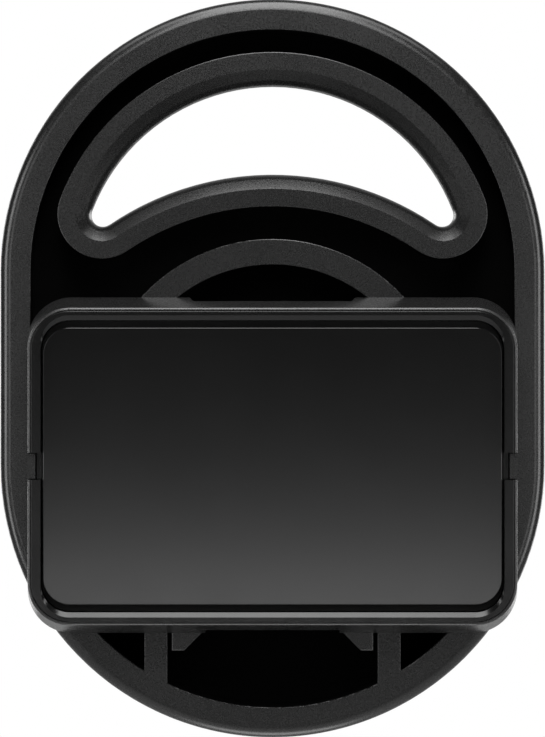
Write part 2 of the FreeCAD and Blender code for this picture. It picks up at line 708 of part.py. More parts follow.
def clamp_half(side):
    """Half of the clamp ring, in front of or behind the split."""
    ring = along_x(CLAMP_RADIUS, -CLAMP_WIDTH / 2, CLAMP_WIDTH / 2)
    edges = [edge for edge in ring.Edges if edge.BoundBox.XLength < TOUCH]
    ring = ring.makeFillet(CLAMP_EDGE_ROUND, edges)
    ring = ring.cut(along_x(SEAT_RADIUS, -CLAMP_WIDTH / 2, CLAMP_WIDTH / 2))
    return ring.common(half_space(side))


def hinge_web(side, left, right):
    """A sloping web from a hinge knuckle down to its clamp half."""
    angle = math.radians(WEB_ANGLE)
    split = side * SPLIT_GAP / 2
    knuckle_top = HINGE_Z + math.sqrt(KNUCKLE_RADIUS ** 2 - split ** 2)
    foot = Vector(0, side * math.sin(angle), math.cos(angle))
    outline = polygon([
        Vector(left, split, knuckle_top),
        Vector(left, 0, 0) + foot * CLAMP_RADIUS,
        Vector(left, 0, 0) + foot * CLAMP_MIDDLE,
        Vector(left, split, CLAMP_MIDDLE),
    ])
    return Part.Face(outline).extrude(Vector(right - left, 0, 0))


def knuckle(side, left, right):
    """A hinge knuckle with its web."""
    barrel = along_x(KNUCKLE_RADIUS, left, right, z=HINGE_Z)
    return barrel.fuse(hinge_web(side, left, right))


def outer_spans(clearance):
    """Both lengths of the hinge beside the jaw's knuckle, a clearance away from it."""
    inner = KNUCKLE_WIDTH / 2 + clearance
    outer = CLAMP_WIDTH / 2
    return [(-outer, -inner), (inner, outer)]


def ear(side):
    """A clamp ear with a round end about the bolt."""
    near = side * EAR_FACE
    far = side * EAR_BACK
    plate = block((-EAR_RADIUS, EAR_RADIUS), (near, far), (BOLT_Z, -SEAT_RADIUS + CLAMP_WALL))
    end = along_y(EAR_RADIUS, max(near, far), min(near, far), z=BOLT_Z)
    return plate.fuse(end)


def bar_space():
    """The room that the liners and the bar take up in the clamp."""
    return along_x(SEAT_RADIUS, -LINER_HALF, LINER_HALF)


def swivel_mount():
    """The flange, neck and spigot in front of the bracket."""
    flange = along_y(FLANGE_RADIUS, FLANGE_BACK, FLANGE_FRONT)
    edges = [edge for edge in flange.Edges if edge.BoundBox.YLength < TOUCH]
    flange = flange.makeFillet(FLANGE_ROUND, edges)
    neck_root = -math.sqrt(CLAMP_MIDDLE ** 2 - NECK_RADIUS ** 2)
    neck = along_y(NECK_RADIUS, neck_root, FLANGE_FRONT)
    spigot = along_y(SPIGOT_RADIUS, FLANGE_FRONT, SPIGOT_END)
    return flange.fuse([neck, spigot])


def clamp_bracket():
    """The front half of the clamp, which carries the head, the hinge and the bolt."""
    bracket = clamp_half(-1).fuse([swivel_mount(), ear(-1)])
    for left, right in outer_spans(KNUCKLE_CLEARANCE):
        bracket = bracket.fuse(knuckle(-1, left, right))
    half = KNUCKLE_WIDTH / 2 + KNUCKLE_CLEARANCE
    tools = [
        bar_space(),
        along_x(KNUCKLE_RADIUS + KNUCKLE_CLEARANCE, -half, half, z=HINGE_Z),
        along_x(PIN_RADIUS + PIN_TIGHT_FIT, -CLAMP_WIDTH / 2, CLAMP_WIDTH / 2, z=HINGE_Z),
        along_y(SWIVEL_SCREW_RADIUS + INSERT_WALL + PIN_TIGHT_FIT, SPIGOT_END + INSERT_LENGTH, SPIGOT_END),
        along_y(BOLT_RADIUS + BOLT_CLEARANCE, 0, -EAR_BACK, z=BOLT_Z),
        hexagon(bolt_head_radius() + BOLT_HEAD_CLEARANCE, BOLT_SEAT, -EAR_BACK, BOLT_Z),
    ]
    return bracket.cut(tools).removeSplitter()


def clamp_jaw():
    """The hinged rear half of the clamp, with a forked ear for the bolt."""
    half = KNUCKLE_WIDTH / 2
    jaw = clamp_half(1).fuse([ear(1), knuckle(1, -half, half)])
    tools = [
        bar_space(),
        along_x(PIN_RADIUS + PIN_RUNNING_FIT, -half, half, z=HINGE_Z),
        along_y(BOLT_RADIUS + FORK_CLEARANCE, EAR_BACK, 0, z=BOLT_Z),
    ]
    fork = BOLT_RADIUS + FORK_CLEARANCE
    tools.append(block((-fork, fork), (0, EAR_BACK), (BOLT_Z - EAR_RADIUS, BOLT_Z)))
    for left, right in outer_spans(0):
        tools.append(along_x(KNUCKLE_RADIUS + KNUCKLE_CLEARANCE, left, right, z=HINGE_Z))
    return jaw.cut(tools).removeSplitter()


def bar_liner(side):
    """A rubber liner in one clamp half, with a lip round each edge of the clamp."""
    outer = BAR_RADIUS + LINER_WALL
    sleeve = along_x(outer, -LINER_HALF, LINER_HALF)
    lip_inner = CLAMP_WIDTH / 2 + LINER_CLEARANCE
    lips = [along_x(outer + LINER_LIP, left, right)
            for left, right in ((-LINER_HALF, -lip_inner), (lip_inner, LINER_HALF))]
    liner = sleeve.fuse(lips).cut(along_x(BAR_RADIUS, -LINER_HALF, LINER_HALF))
    reach = outer + LINER_LIP
    keep = block((-LINER_HALF, LINER_HALF), (side * LINER_END_GAP, side * reach), (-reach, reach))
    return liner.common(keep).removeSplitter()


def hinge_pin():
    """The pin through the hinge knuckles."""
    reach = CLAMP_WIDTH / 2 + PIN_HEAD_PROUD
    return along_x(PIN_RADIUS, -reach, reach, z=HINGE_Z)


def bolt_head_radius():
    """The bolt head's corner radius, from its size across the flats."""
    return BOLT_HEAD_ACROSS / math.sqrt(3)


def clamp_bolt():
    """The hexagon bolt that is held in the bracket's ear."""
    head = hexagon(bolt_head_radius(), BOLT_SEAT, BOLT_SEAT - BOLT_HEAD_HEIGHT, BOLT_Z)
    shank = along_y(BOLT_RADIUS, BOLT_END, BOLT_SEAT, z=BOLT_Z)
    return head.fuse(shank).removeSplitter()


def thrust_washer():
    """The washer between the jaw's ear and the knob."""
    disc = along_y(THRUST_RADIUS, KNOB_FACE, EAR_BACK, z=BOLT_Z)
    return disc.cut(along_y(BOLT_RADIUS + THRUST_CLEARANCE, KNOB_FACE, EAR_BACK, z=BOLT_Z))


def knob():
    """The fluted knob, with room for its insert and the bolt's end."""
    grip = along_y(KNOB_RADIUS, KNOB_END, KNOB_FACE + KNOB_COLLAR_LENGTH, z=BOLT_Z)
    ends = [edge for edge in grip.Edges if edge.BoundBox.YLength < TOUCH]
    grip = grip.makeFillet(KNOB_ROUND, ends)
    flutes = []
    reach = KNOB_RADIUS + KNOB_FLUTE_RADIUS - KNOB_FLUTE_DEPTH
    for number in range(KNOB_FLUTES):
        angle = math.radians(number * FULL_TURN / KNOB_FLUTES)
        x = reach * math.cos(angle)
        z = BOLT_Z + reach * math.sin(angle)
        flutes.append(along_y(KNOB_FLUTE_RADIUS, KNOB_END, KNOB_FACE, x, z))
    collar = along_y(KNOB_COLLAR_RADIUS, KNOB_FACE + KNOB_COLLAR_LENGTH, KNOB_FACE, z=BOLT_Z)
    insert_radius = BOLT_RADIUS + KNOB_INSERT_WALL + PIN_TIGHT_FIT
    room = along_y(insert_radius, KNOB_FACE + KNOB_INSERT_LENGTH, KNOB_FACE, z=BOLT_Z)
    bore = along_y(BOLT_RADIUS + KNOB_BORE_CLEARANCE, KNOB_END - KNOB_END_WALL, KNOB_FACE, z=BOLT_Z)
    return grip.cut(flutes).fuse(collar).cut([room, bore]).removeSplitter()


def knob_insert():
    """The threaded brass insert in the knob."""
    sleeve = along_y(BOLT_RADIUS + KNOB_INSERT_WALL, KNOB_FACE + KNOB_INSERT_LENGTH, KNOB_FACE, z=BOLT_Z)
    return sleeve.cut(along_y(BOLT_RADIUS + THREAD_FIT, KNOB_FACE + KNOB_INSERT_LENGTH, KNOB_FACE, z=BOLT_Z))


def build():
    """Every piece by its name."""
    return {
        "body_frame": body_frame(),
        "holder_base": holder_base(),
        "bezel": bezel(),
        "grip_pad": grip_pad(),
        "yoke_plate": yoke_plate(),
        "magnet_carrier": magnet_carrier(),
        **magnets(),
        "holder_screws": holder_screws(),
        "friction_washer": friction_washer(),
        "disc_spring": disc_spring(),
        "retaining_washer": retaining_washer(),
        "swivel_screw": swivel_screw(),
        "spigot_insert": spigot_insert(),
        "clamp_bracket": clamp_bracket(),
        "clamp_jaw": clamp_jaw(),
        "front_liner": bar_liner(-1),
        "rear_liner": bar_liner(1),
        "hinge_pin": hinge_pin(),
        "clamp_bolt": clamp_bolt(),
        "thrust_washer": thrust_washer(),
        "knob": knob(),
        "knob_insert": knob_insert(),
    }


os.makedirs("parts", exist_ok=True)
for name, shape in build().items():
    shape.exportStep(os.path.join("parts", name + ".step"))
    state = "valid" if shape.isValid() else "not valid"
    print(name, len(shape.Solids), "solids,", round(shape.Volume, 2), "mm3,", state)
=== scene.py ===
"""Dresses the bike phone mount: moulded plastics, rubber and metal, studio light, floor and camera."""
import bmesh
import bpy
import json
import math
from collections import namedtuple
from mathutils import Matrix, Vector

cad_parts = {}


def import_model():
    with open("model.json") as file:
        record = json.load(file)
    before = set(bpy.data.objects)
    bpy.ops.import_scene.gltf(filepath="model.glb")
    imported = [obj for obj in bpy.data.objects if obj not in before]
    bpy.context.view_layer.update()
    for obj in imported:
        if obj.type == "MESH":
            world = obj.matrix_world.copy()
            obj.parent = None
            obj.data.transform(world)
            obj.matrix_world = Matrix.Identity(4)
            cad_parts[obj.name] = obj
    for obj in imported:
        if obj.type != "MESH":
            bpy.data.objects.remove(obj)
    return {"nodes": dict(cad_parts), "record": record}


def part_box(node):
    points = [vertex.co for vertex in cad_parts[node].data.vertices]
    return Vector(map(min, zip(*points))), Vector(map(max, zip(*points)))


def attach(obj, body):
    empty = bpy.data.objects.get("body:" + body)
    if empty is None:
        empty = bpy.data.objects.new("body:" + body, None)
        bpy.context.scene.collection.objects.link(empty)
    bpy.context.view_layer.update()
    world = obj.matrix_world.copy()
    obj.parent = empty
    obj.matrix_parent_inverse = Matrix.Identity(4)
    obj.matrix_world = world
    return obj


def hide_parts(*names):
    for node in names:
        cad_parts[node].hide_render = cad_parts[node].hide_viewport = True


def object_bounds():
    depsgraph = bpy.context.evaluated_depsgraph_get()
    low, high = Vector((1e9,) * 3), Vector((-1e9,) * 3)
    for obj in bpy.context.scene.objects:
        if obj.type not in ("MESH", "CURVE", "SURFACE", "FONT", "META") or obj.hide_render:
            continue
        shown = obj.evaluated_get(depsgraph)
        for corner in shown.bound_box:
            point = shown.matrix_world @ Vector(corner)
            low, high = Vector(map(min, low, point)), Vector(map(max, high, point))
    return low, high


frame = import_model()
cad_low, cad_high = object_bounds()

MM = 0.001
SIDES = (("left", -1), ("right", 1))

# The head's shape, for the parts of its finish that follow it
HEAD_RADIUS = 31.0 * MM
HEAD_RISE = 22.0 * MM
RIM_INNER = 27.5 * MM
RIM_ROUND = 1.25 * MM
POCKET_DEPTH = 6.0 * MM
LOOP_TOP_Z = 21.15 * MM
LOOP_TOP_RADIUS = 22.1 * MM
LOOP_LOW_RADIUS = 33.1 * MM
LOOP_TIP_RADIUS = 1.38 * MM
LOOP_BAND = 2.7 * MM
LOOP_TOP_REACH = LOOP_TOP_RADIUS - LOOP_TIP_RADIUS
LOOP_LOW_REACH = LOOP_LOW_RADIUS + LOOP_TIP_RADIUS
LOOP_TIP_Z = (LOOP_LOW_REACH ** 2 - LOOP_TOP_REACH ** 2 + LOOP_TOP_Z ** 2) / (2 * LOOP_TOP_Z)
LOOP_TIP_X = math.sqrt(LOOP_LOW_REACH ** 2 - LOOP_TIP_Z ** 2)
FLOOR_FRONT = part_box("disc_spring")[1].y
RIM_FRONT = FLOOR_FRONT - POCKET_DEPTH
EDGE = 0.2 * MM

# The photograph's frame, the head's place in it, and what one of its pixels covers at the rim
IMAGE_WIDTH = 545
IMAGE_HEIGHT = 737
HEAD_PIXELS = 544.6
HEAD_MIDDLE_PIXEL_X = 272.5
HEAD_MIDDLE_PIXEL_Y = 368.35
PIXEL = 2 * HEAD_RADIUS / HEAD_PIXELS
CAMERA_DISTANCE = 525 * MM
CAMERA_NEAREST = 10 * MM
CAMERA_FARTHEST = 20.0
SENSOR = 36.0

# Moulded finishes: grey level and its spread, roughness, gloss, grain size and grain depth
Finish = namedtuple("Finish", "level spread roughness gloss grain depth")
RIB_FINISH = Finish(0.0105, 0.2, 0.27, 0.83, 0.22 * MM, 0.008 * MM)
# Painted shade: the pockets take a near-black, dull copy of the plastic in place of the shade that falls in
# them
POCKET_SHADE_FINISH = Finish(0.003, 0.17, 0.9, 0.03, 0.3 * MM, 0.008 * MM)
MOULDED_FINISHES = {
    "satin_plastic": Finish(0.02, 0.1, 0.28, 0.83, 0.12 * MM, 0.003 * MM),
    "bezel_plastic": Finish(0.004, 0.1, 0.18, 0.58, 0.1 * MM, 0.002 * MM),
    "carrier_plastic": Finish(0.006, 0.1, 0.6, 0.3, 0.2 * MM, 0.004 * MM),
    "clamp_plastic": Finish(0.03, 0.2, 0.48, 0.5, 0.2 * MM, 0.025 * MM),
    "liner_rubber": Finish(0.018, 0.15, 0.75, 0.35, 0.3 * MM, 0.02 * MM),
    "nylon": Finish(0.5, 0.04, 0.45, 0.5, 0.3 * MM, 0.006 * MM),
}
LUMP_DETAIL = 3.0
LUMP_ROUGHNESS = 0.6
LUMP_SHARE = 0.75
CLOUD_GRAINS = 40
MOTTLE_RANGE = (0.3, 0.7)
MOTTLE_ROUGHNESS = 0.06
GRAIN_STRENGTH = 0.5

# The pad's silicone
PAD_DARK = 0.004
PAD_LIGHT = 0.006
PAD_ROUGHNESS = (0.1, 0.11)
PAD_GLOSS = 0.83
PAD_HAZE = 9 * MM
PAD_HAZE_DETAIL = 4.0
PAD_GRAIN = 0.12 * MM
PAD_GRAIN_DEPTH = 0.002 * MM
PAD_GRAIN_STRENGTH = 0.05

# Metals: colour, roughness and how much the fine lines are drawn out along each axis
Metal = namedtuple("Metal", "colour roughness stretch")
METALS = {
    "steel": Metal((0.52, 0.52, 0.53), 0.32, (1.0, 0.15, 1.0)),
    "nickel": Metal((0.66, 0.63, 0.58), 0.2, (1.0, 1.0, 1.0)),
    "brass": Metal((0.7, 0.5, 0.22), 0.28, (1.0, 0.15, 1.0)),
}
METAL_LINE = 0.25 * MM
METAL_LINE_DETAIL = 4.0
METAL_LINE_DEPTH = 0.003 * MM
METAL_LINE_STRENGTH = 0.2
METAL_SHADE = 0.8
METAL_ROUGHNESS_UP = 0.08
METAL_ROUGHNESS_DOWN = 0.05

# The holder's four screws with their cross recesses
SCREW_LOW, SCREW_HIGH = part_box("holder_screws")
SCREW_RADIUS = 1.25 * MM
SCREW_HEAD_RADIUS = 2.3 * MM
SCREW_HEAD_HEIGHT = 1.6 * MM
SCREW_SIDES = 32
LOWER_SCREW_X = 19.6 * MM
UPPER_SCREW = (SCREW_HIGH.x - SCREW_HEAD_RADIUS, SCREW_HIGH.z - SCREW_HEAD_RADIUS)
LOWER_SCREW = (LOWER_SCREW_X, SCREW_LOW.z + SCREW_HEAD_RADIUS)
CROSS_ARMS = 4
CROSS_ARM_CORNERS = 3
CROSS_REACH = 1.35 * MM
CROSS_HALF_WIDTH = 0.3 * MM
CROSS_DEPTH = 1.1 * MM
CROSS_TAPER = 0.3

# The clamp's hexagon bolt with its thread
BOLT_LOW, BOLT_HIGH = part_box("clamp_bolt")
BOLT_Z = (BOLT_LOW.z + BOLT_HIGH.z) / 2
BOLT_RADIUS = 2.5 * MM
BOLT_SIDES = 24
BOLT_HEAD_ACROSS = BOLT_HIGH.z - BOLT_LOW.z
BOLT_HEAD_HEIGHT = 3.5 * MM
BOLT_HEAD_SIDES = 6
BOLT_SEAT = BOLT_LOW.y + BOLT_HEAD_HEIGHT
THREAD_PITCH = 0.8 * MM
THREAD_DEPTH = 0.4 * MM
THREAD_STEPS = 8
THREAD_LENGTH = BOLT_HIGH.y - THREAD_DEPTH - BOLT_SEAT

# Studio
FLOOR_DROP = 120 * MM
FLOOR_SIZE = 6.0
FLOOR_NEAR = 0.12
FLOOR_FAR = 0.4
FLOOR_DARK = 0.8
FLOOR_LIGHT = 0.83
FLOOR_ROUGHNESS = 0.9
FLOOR_GLOSS = 0.1
FLOOR_GRAIN = 2 * MM
ROOM_FRONT = 0.02
ROOM_BACK = 0.4
ROOM_TURN = (0.2, 0.8)
BACKGROUND_TURN = (0.75, 0.95)
MIRRORED_SHARE = 0.2
WHITE = (1.0, 1.0, 1.0, 1.0)
WHITE_STRENGTH = 1.0

# Light panels: clock angle, each edge's angle off the camera's axis and distance, width and brightness
Panel = namedtuple("Panel", "clock near far width brightness")
TOP_BEND = (50, 200 * MM)
TOP_FRONT = Panel(0, (14, 300 * MM), TOP_BEND, 110 * MM, 5.05)
TOP_BACK = Panel(0, TOP_BEND, (90, 170 * MM), 110 * MM, 5.0)
WING = Panel(29, (64, 178 * MM), (96, 178 * MM), 66 * MM, 1.85)
SIDE = Panel(88, (45, 100 * MM), (67, 100 * MM), 122 * MM, 3.35)
FILL = Panel(88, (10, 100 * MM), (22, 100 * MM), 90 * MM, 1.4)
BACK = Panel(88, (132, 500 * MM), (163, 500 * MM), 300 * MM, 2.4)
LOW = Panel(180, (69, 115 * MM), (100, 112 * MM), 78 * MM, 2.35)
HEAD_MIDDLE = Vector((0.0, RIM_FRONT, HEAD_RISE / 2))

# The panel far in front that the pad mirrors, which fades from its lower edge to its upper one
FRONT_Y = -700 * MM
FRONT_LOW = -59 * MM
FRONT_HIGH = 22 * MM
FRONT_WIDTH = 152 * MM
FRONT_BRIGHTNESS = 2.85
FRONT_FALL = 0.009


class Graph:
    """A node tree with short ways to add and join nodes."""

    def __init__(self, owner):
        owner.use_nodes = True
        self.tree = owner.node_tree
        self.tree.nodes.clear()

    def add(self, kind, inputs=None, **settings):
        """Adds a node, sets its attributes, then sets or links its inputs."""
        node = self.tree.nodes.new(kind)
        for name, value in settings.items():
            setattr(node, name, value)
        for key, value in (inputs or {}).items():
            self.feed(node.inputs[key], value)
        return node

    def feed(self, socket, value):
        """Links a socket to another one, or gives it a plain value."""
        if isinstance(value, bpy.types.NodeSocket):
            self.tree.links.new(value, socket)
        else:
            socket.default_value = value

    def math(self, operation, first, second=0.0):
        """One arithmetic step."""
        return self.add("ShaderNodeMath", {0: first, 1: second}, operation=operation).outputs[0]

    def length(self, x, z):
        """How far a point lies from an axis along Y."""
        vector = self.add("ShaderNodeCombineXYZ", {"X": x, "Z": z}).outputs[0]
        return self.add("ShaderNodeVectorMath", {0: vector}, operation="LENGTH").outputs["Value"]

    def ramp(self, value, low, high, to_low=0.0, to_high=1.0):
        """A smooth step of a value from one level to another."""
        inputs = {"Value": value, "From Min": low, "From Max": high, "To Min": to_low, "To Max": to_high}
        return self.add("ShaderNodeMapRange", inputs, interpolation_type="SMOOTHSTEP").outputs[0]

    def noise(self, place, scale, detail=2.0, roughness=0.5):
        """Cloudy noise of a scale in lumps per metre."""
        inputs = {"Vector": place, "Scale": scale, "Detail": detail, "Roughness": roughness}
        return self.add("ShaderNodeTexNoise", inputs).outputs["Fac"]

    def blend(self, share, first, second):
        """A colour between two others."""
        node = self.add("ShaderNodeMix", data_type="RGBA")
        self.feed(node.inputs["Factor"], share)
        self.feed(node.inputs["A"], first)
        self.feed(node.inputs["B"], second)
        return node.outputs["Result"]

    def place(self):
        """Places on the piece itself, in metres."""
        return self.add("ShaderNodeTexCoord").outputs["Object"]


def grey(level):
    """A grey of one level."""
    return (level, level, level, 1.0)


def surface(graph, colour, roughness, normal=None, metallic=0.0, specular=0.5):
    """A principled surface."""
    inputs = {"Base Color": colour, "Roughness": roughness}
    inputs.update({"Metallic": metallic, "Specular IOR Level": specular})
    if normal is not None:
        inputs["Normal"] = normal
    return graph.add("ShaderNodeBsdfPrincipled", inputs).outputs[0]


def bump(graph, height, strength, distance):
    """A bumped normal."""
    inputs = {"Height": height, "Strength": strength, "Distance": distance}
    return graph.add("ShaderNodeBump", inputs).outputs[0]


def new_material(name):
    """A material with an empty node tree."""
    material = bpy.data.materials.new(name)
    return material, Graph(material)


def close(graph, shader):
    """Sends a shader to the output."""
    graph.add("ShaderNodeOutputMaterial", {"Surface": shader})


def grained_surface(graph, finish):
    """The shader of a moulding: one grey, mottled a little, with a grain of some size and depth."""
    place = graph.place()
    lumps = graph.noise(place, 1 / finish.grain, LUMP_DETAIL, LUMP_ROUGHNESS)
    clouds = graph.noise(place, 1 / (CLOUD_GRAINS * finish.grain))
    fine = graph.math("MULTIPLY", lumps, LUMP_SHARE)
    mottle = graph.math("ADD", fine, graph.math("MULTIPLY", clouds, 1 - LUMP_SHARE))
    dark = grey(finish.level * (1 - finish.spread))
    light = grey(finish.level * (1 + finish.spread))
    colour = graph.blend(graph.ramp(mottle, *MOTTLE_RANGE), dark, light)
    matt = finish.roughness + MOTTLE_ROUGHNESS
    rough = graph.ramp(mottle, *MOTTLE_RANGE, matt, matt - 2 * MOTTLE_ROUGHNESS)
    normal = bump(graph, lumps, GRAIN_STRENGTH, finish.depth)
    return surface(graph, colour, rough, normal, specular=finish.gloss)


def moulded(name, finish):
    """Moulded plastic or rubber of one finish."""
    material, graph = new_material(name)
    close(graph, grained_surface(graph, finish))
    return material


def loop_share(graph, x, z):
    """1 on the crescent loop's band, between its two arcs and round its two tips."""
    up = graph.math("SUBTRACT", z, LOOP_TOP_Z)
    under_top = graph.math("LESS_THAN", graph.length(x, up), LOOP_TOP_RADIUS + LOOP_BAND)
    over_low = graph.math("GREATER_THAN", graph.length(x, z), LOOP_LOW_RADIUS - LOOP_BAND)
    off_middle = graph.math("ABSOLUTE", x)
    low_line = graph.math("MULTIPLY", off_middle, LOOP_TIP_Z / LOOP_TIP_X)
    top_line = graph.math("MULTIPLY", off_middle, (LOOP_TIP_Z - LOOP_TOP_Z) / LOOP_TIP_X)
    between_tips = graph.math("LESS_THAN", low_line, z)
    above_tips = graph.math("LESS_THAN", top_line, up)
    before_tips = graph.math("MAXIMUM", between_tips, above_tips)
    arcs = graph.math("MULTIPLY", graph.math("MULTIPLY", under_top, over_low), before_tips)
    past_tip = graph.math("SUBTRACT", off_middle, LOOP_TIP_X)
    from_tip = graph.length(past_tip, graph.math("SUBTRACT", z, LOOP_TIP_Z))
    return graph.math("MAXIMUM", arcs, graph.math("LESS_THAN", from_tip, LOOP_TIP_RADIUS + LOOP_BAND))


def pocket_shade_share(graph):
    """Painted shade for the head's pockets: how far a place on the head is down in them, from 0 on the rib
    tops and outside to 1.
    """
    x, y, z = graph.add("ShaderNodeSeparateXYZ", {0: graph.place()}).outputs
    half = HEAD_RISE / 2
    from_middle = graph.math("ABSOLUTE", graph.math("SUBTRACT", z, half))
    past_end = graph.math("MAXIMUM", graph.math("SUBTRACT", from_middle, half), 0.0)
    within_rim = graph.math("LESS_THAN", graph.length(x, past_end), RIM_INNER + EDGE / 2)
    off_loop = graph.math("SUBTRACT", 1.0, loop_share(graph, x, z))
    deep = graph.ramp(y, RIM_FRONT + EDGE, RIM_FRONT + 2 * EDGE)
    before_back = graph.math("LESS_THAN", y, FLOOR_FRONT + EDGE)
    flat = graph.math("MULTIPLY", within_rim, off_loop)
    return graph.math("MULTIPLY", flat, graph.math("MULTIPLY", deep, before_back))


def head_plastic():
    """Dark grey grained plastic, with painted shade: the pockets between the ribs darkened to flat black.
    """
    material, graph = new_material("grained_plastic")
    ribs = grained_surface(graph, RIB_FINISH)
    pockets = grained_surface(graph, POCKET_SHADE_FINISH)
    # Painted shade: the near-black copy of the plastic is mixed in where the pockets lie deep
    close(graph, graph.add("ShaderNodeMixShader", {0: pocket_shade_share(graph), 1: ribs, 2: pockets}).outputs[0])
    return material


def pad_rubber():
    """Smooth black silicone with a faint haze."""
    material, graph = new_material("pad_rubber")
    place = graph.place()
    haze = graph.noise(place, 1 / PAD_HAZE, PAD_HAZE_DETAIL)
    fine = graph.noise(place, 1 / PAD_GRAIN)
    colour = graph.blend(haze, grey(PAD_DARK), grey(PAD_LIGHT))
    rough = graph.ramp(haze, *MOTTLE_RANGE, *PAD_ROUGHNESS)
    normal = bump(graph, fine, PAD_GRAIN_STRENGTH, PAD_GRAIN_DEPTH)
    close(graph, surface(graph, colour, rough, normal, specular=PAD_GLOSS))
    return material


def metal(name, finish):
    """Turned or drawn metal with fine lines along one way."""
    material, graph = new_material(name)
    mapping = graph.add("ShaderNodeMapping", {"Vector": graph.place(), "Scale": finish.stretch})
    lines = graph.noise(mapping.outputs[0], 1 / METAL_LINE, METAL_LINE_DETAIL)
    dark = (*(METAL_SHADE * part for part in finish.colour), 1.0)
    shade = graph.blend(graph.ramp(lines, *MOTTLE_RANGE), dark, (*finish.colour, 1.0))
    matt = finish.roughness + METAL_ROUGHNESS_UP
    bright = finish.roughness - METAL_ROUGHNESS_DOWN
    rough = graph.ramp(lines, *MOTTLE_RANGE, matt, bright)
    normal = bump(graph, lines, METAL_LINE_STRENGTH, METAL_LINE_DEPTH)
    close(graph, surface(graph, shade, rough, normal, metallic=1.0))
    return material


def dress():
    """Gives every node the material of its slot, and the carrier under the pad a dull black of its own."""
    materials = {"grained_plastic": head_plastic(), "pad_rubber": pad_rubber()}
    for name, finish in MOULDED_FINISHES.items():
        materials[name] = moulded(name, finish)
    for name, finish in METALS.items():
        materials[name] = metal(name, finish)
    chosen = {part["node"]: part["material_slot"] for part in frame["record"]["subparts"]}
    chosen["magnet_carrier"] = "carrier_plastic"
    for name, slot_name in chosen.items():
        for slot in frame["nodes"][name].material_slots:
            slot.link = "OBJECT"
            slot.material = materials[slot_name]
    return materials


class Shell:
    """Points and faces of one mesh, built up loop by loop along Y."""

    def __init__(self):
        self.points = []
        self.faces = []
        self.smooth = []

    def loop(self, points):
        """Adds a loop of points and returns their numbers."""
        first = len(self.points)
        self.points.extend(points)
        return list(range(first, len(self.points)))

    def face(self, corners, smooth=False):
        """Adds one face."""
        self.faces.append(corners)
        self.smooth.append(smooth)

    def wall(self, near, far, smooth=True):
        """Joins two loops of as many points by a band of faces."""
        for number in range(len(near)):
            after = (number + 1) % len(near)
            self.face((near[number], near[after], far[after], far[number]), smooth)

    def piece(self, name, node, body, material):
        """Makes the mesh, which stands for a node and rides on its body."""
        mesh = bpy.data.meshes.new(name)
        mesh.from_pydata(self.points, [], self.faces)
        mesh.polygons.foreach_set("use_smooth", self.smooth)
        shape = bmesh.new()
        shape.from_mesh(mesh)
        bmesh.ops.recalc_face_normals(shape, faces=shape.faces)
        shape.to_mesh(mesh)
        shape.free()
        mesh.materials.append(material)
        thing = bpy.data.objects.new(name, mesh)
        bpy.context.scene.collection.objects.link(thing)
        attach(thing, body)
        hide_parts(node)


def ring(x, y, z, sides, radius_at):
    """Points round an axis along Y, at a radius that may change with the angle."""
    points = []
    for number in range(sides):
        angle = 2 * math.pi * number / sides
        radius = radius_at(angle)
        points.append((x + radius * math.cos(angle), y, z + radius * math.sin(angle)))
    return points


def circle(x, y, z, sides, radius):
    """Points round an axis along Y, all at one radius."""
    return ring(x, y, z, sides, lambda angle: radius)


def cross(x, y, z, scale):
    """The corners of a cross recess, three for each arm."""
    reach = CROSS_REACH * scale
    half = CROSS_HALF_WIDTH * scale
    points = []
    for arm in range(CROSS_ARMS):
        turn = Matrix.Rotation(2 * math.pi * arm / CROSS_ARMS, 2)
        for corner in ((reach, -half), (reach, half), (half, half)):
            across, up = turn @ Vector(corner)
            points.append((x + across, y, z + up))
    return points


def add_screw(shell, x, z):
    """One screw: a head with a cross recess in its back face, and a shank."""
    head_front = SCREW_HIGH.y - SCREW_HEAD_HEIGHT
    back = shell.loop(circle(x, SCREW_HIGH.y, z, SCREW_SIDES, SCREW_HEAD_RADIUS))
    front = shell.loop(circle(x, head_front, z, SCREW_SIDES, SCREW_HEAD_RADIUS))
    root = shell.loop(circle(x, head_front, z, SCREW_SIDES, SCREW_RADIUS))
    end = shell.loop(circle(x, SCREW_LOW.y, z, SCREW_SIDES, SCREW_RADIUS))
    shell.wall(back, front)
    shell.wall(front, root, smooth=False)
    shell.wall(root, end)
    shell.face(end)
    add_recess(shell, x, z, back)


def add_recess(shell, x, z, back):
    """A tapered cross recess in a screw's back face, and the face between it and the head's edge."""
    mouth = shell.loop(cross(x, SCREW_HIGH.y, z, 1.0))
    bottom = shell.loop(cross(x, SCREW_HIGH.y - CROSS_DEPTH, z, CROSS_TAPER))
    shell.wall(mouth, bottom, smooth=False)
    shell.face(bottom)
    quarter = SCREW_SIDES // CROSS_ARMS
    for arm in range(CROSS_ARMS):
        at = quarter * arm
        first = CROSS_ARM_CORNERS * arm
        low, high, inner = mouth[first:first + CROSS_ARM_CORNERS]
        following = mouth[(first + CROSS_ARM_CORNERS) % len(mouth)]
        shell.face((low, high, back[at + 1], back[at], back[at - 1]))
        shell.face((high, inner, following, *back[at + quarter - 1:at:-1]))


def screws(material):
    """The holder's four screws."""
    shell = Shell()
    for x, z in (UPPER_SCREW, LOWER_SCREW):
        add_screw(shell, x, z)
        add_screw(shell, -x, z)
    shell.piece("holder_screws_crossed", "holder_screws", "head_body", material)


def thread_ring(y, depth):
    """One ring of the bolt's thread, whose grooves have some depth there."""
    def radius_at(angle):
        turns = y / THREAD_PITCH - angle / (2 * math.pi)
        return BOLT_RADIUS - depth * (1 - math.cos(2 * math.pi * turns)) / 2
    return ring(0.0, y, BOLT_Z, BOLT_SIDES, radius_at)


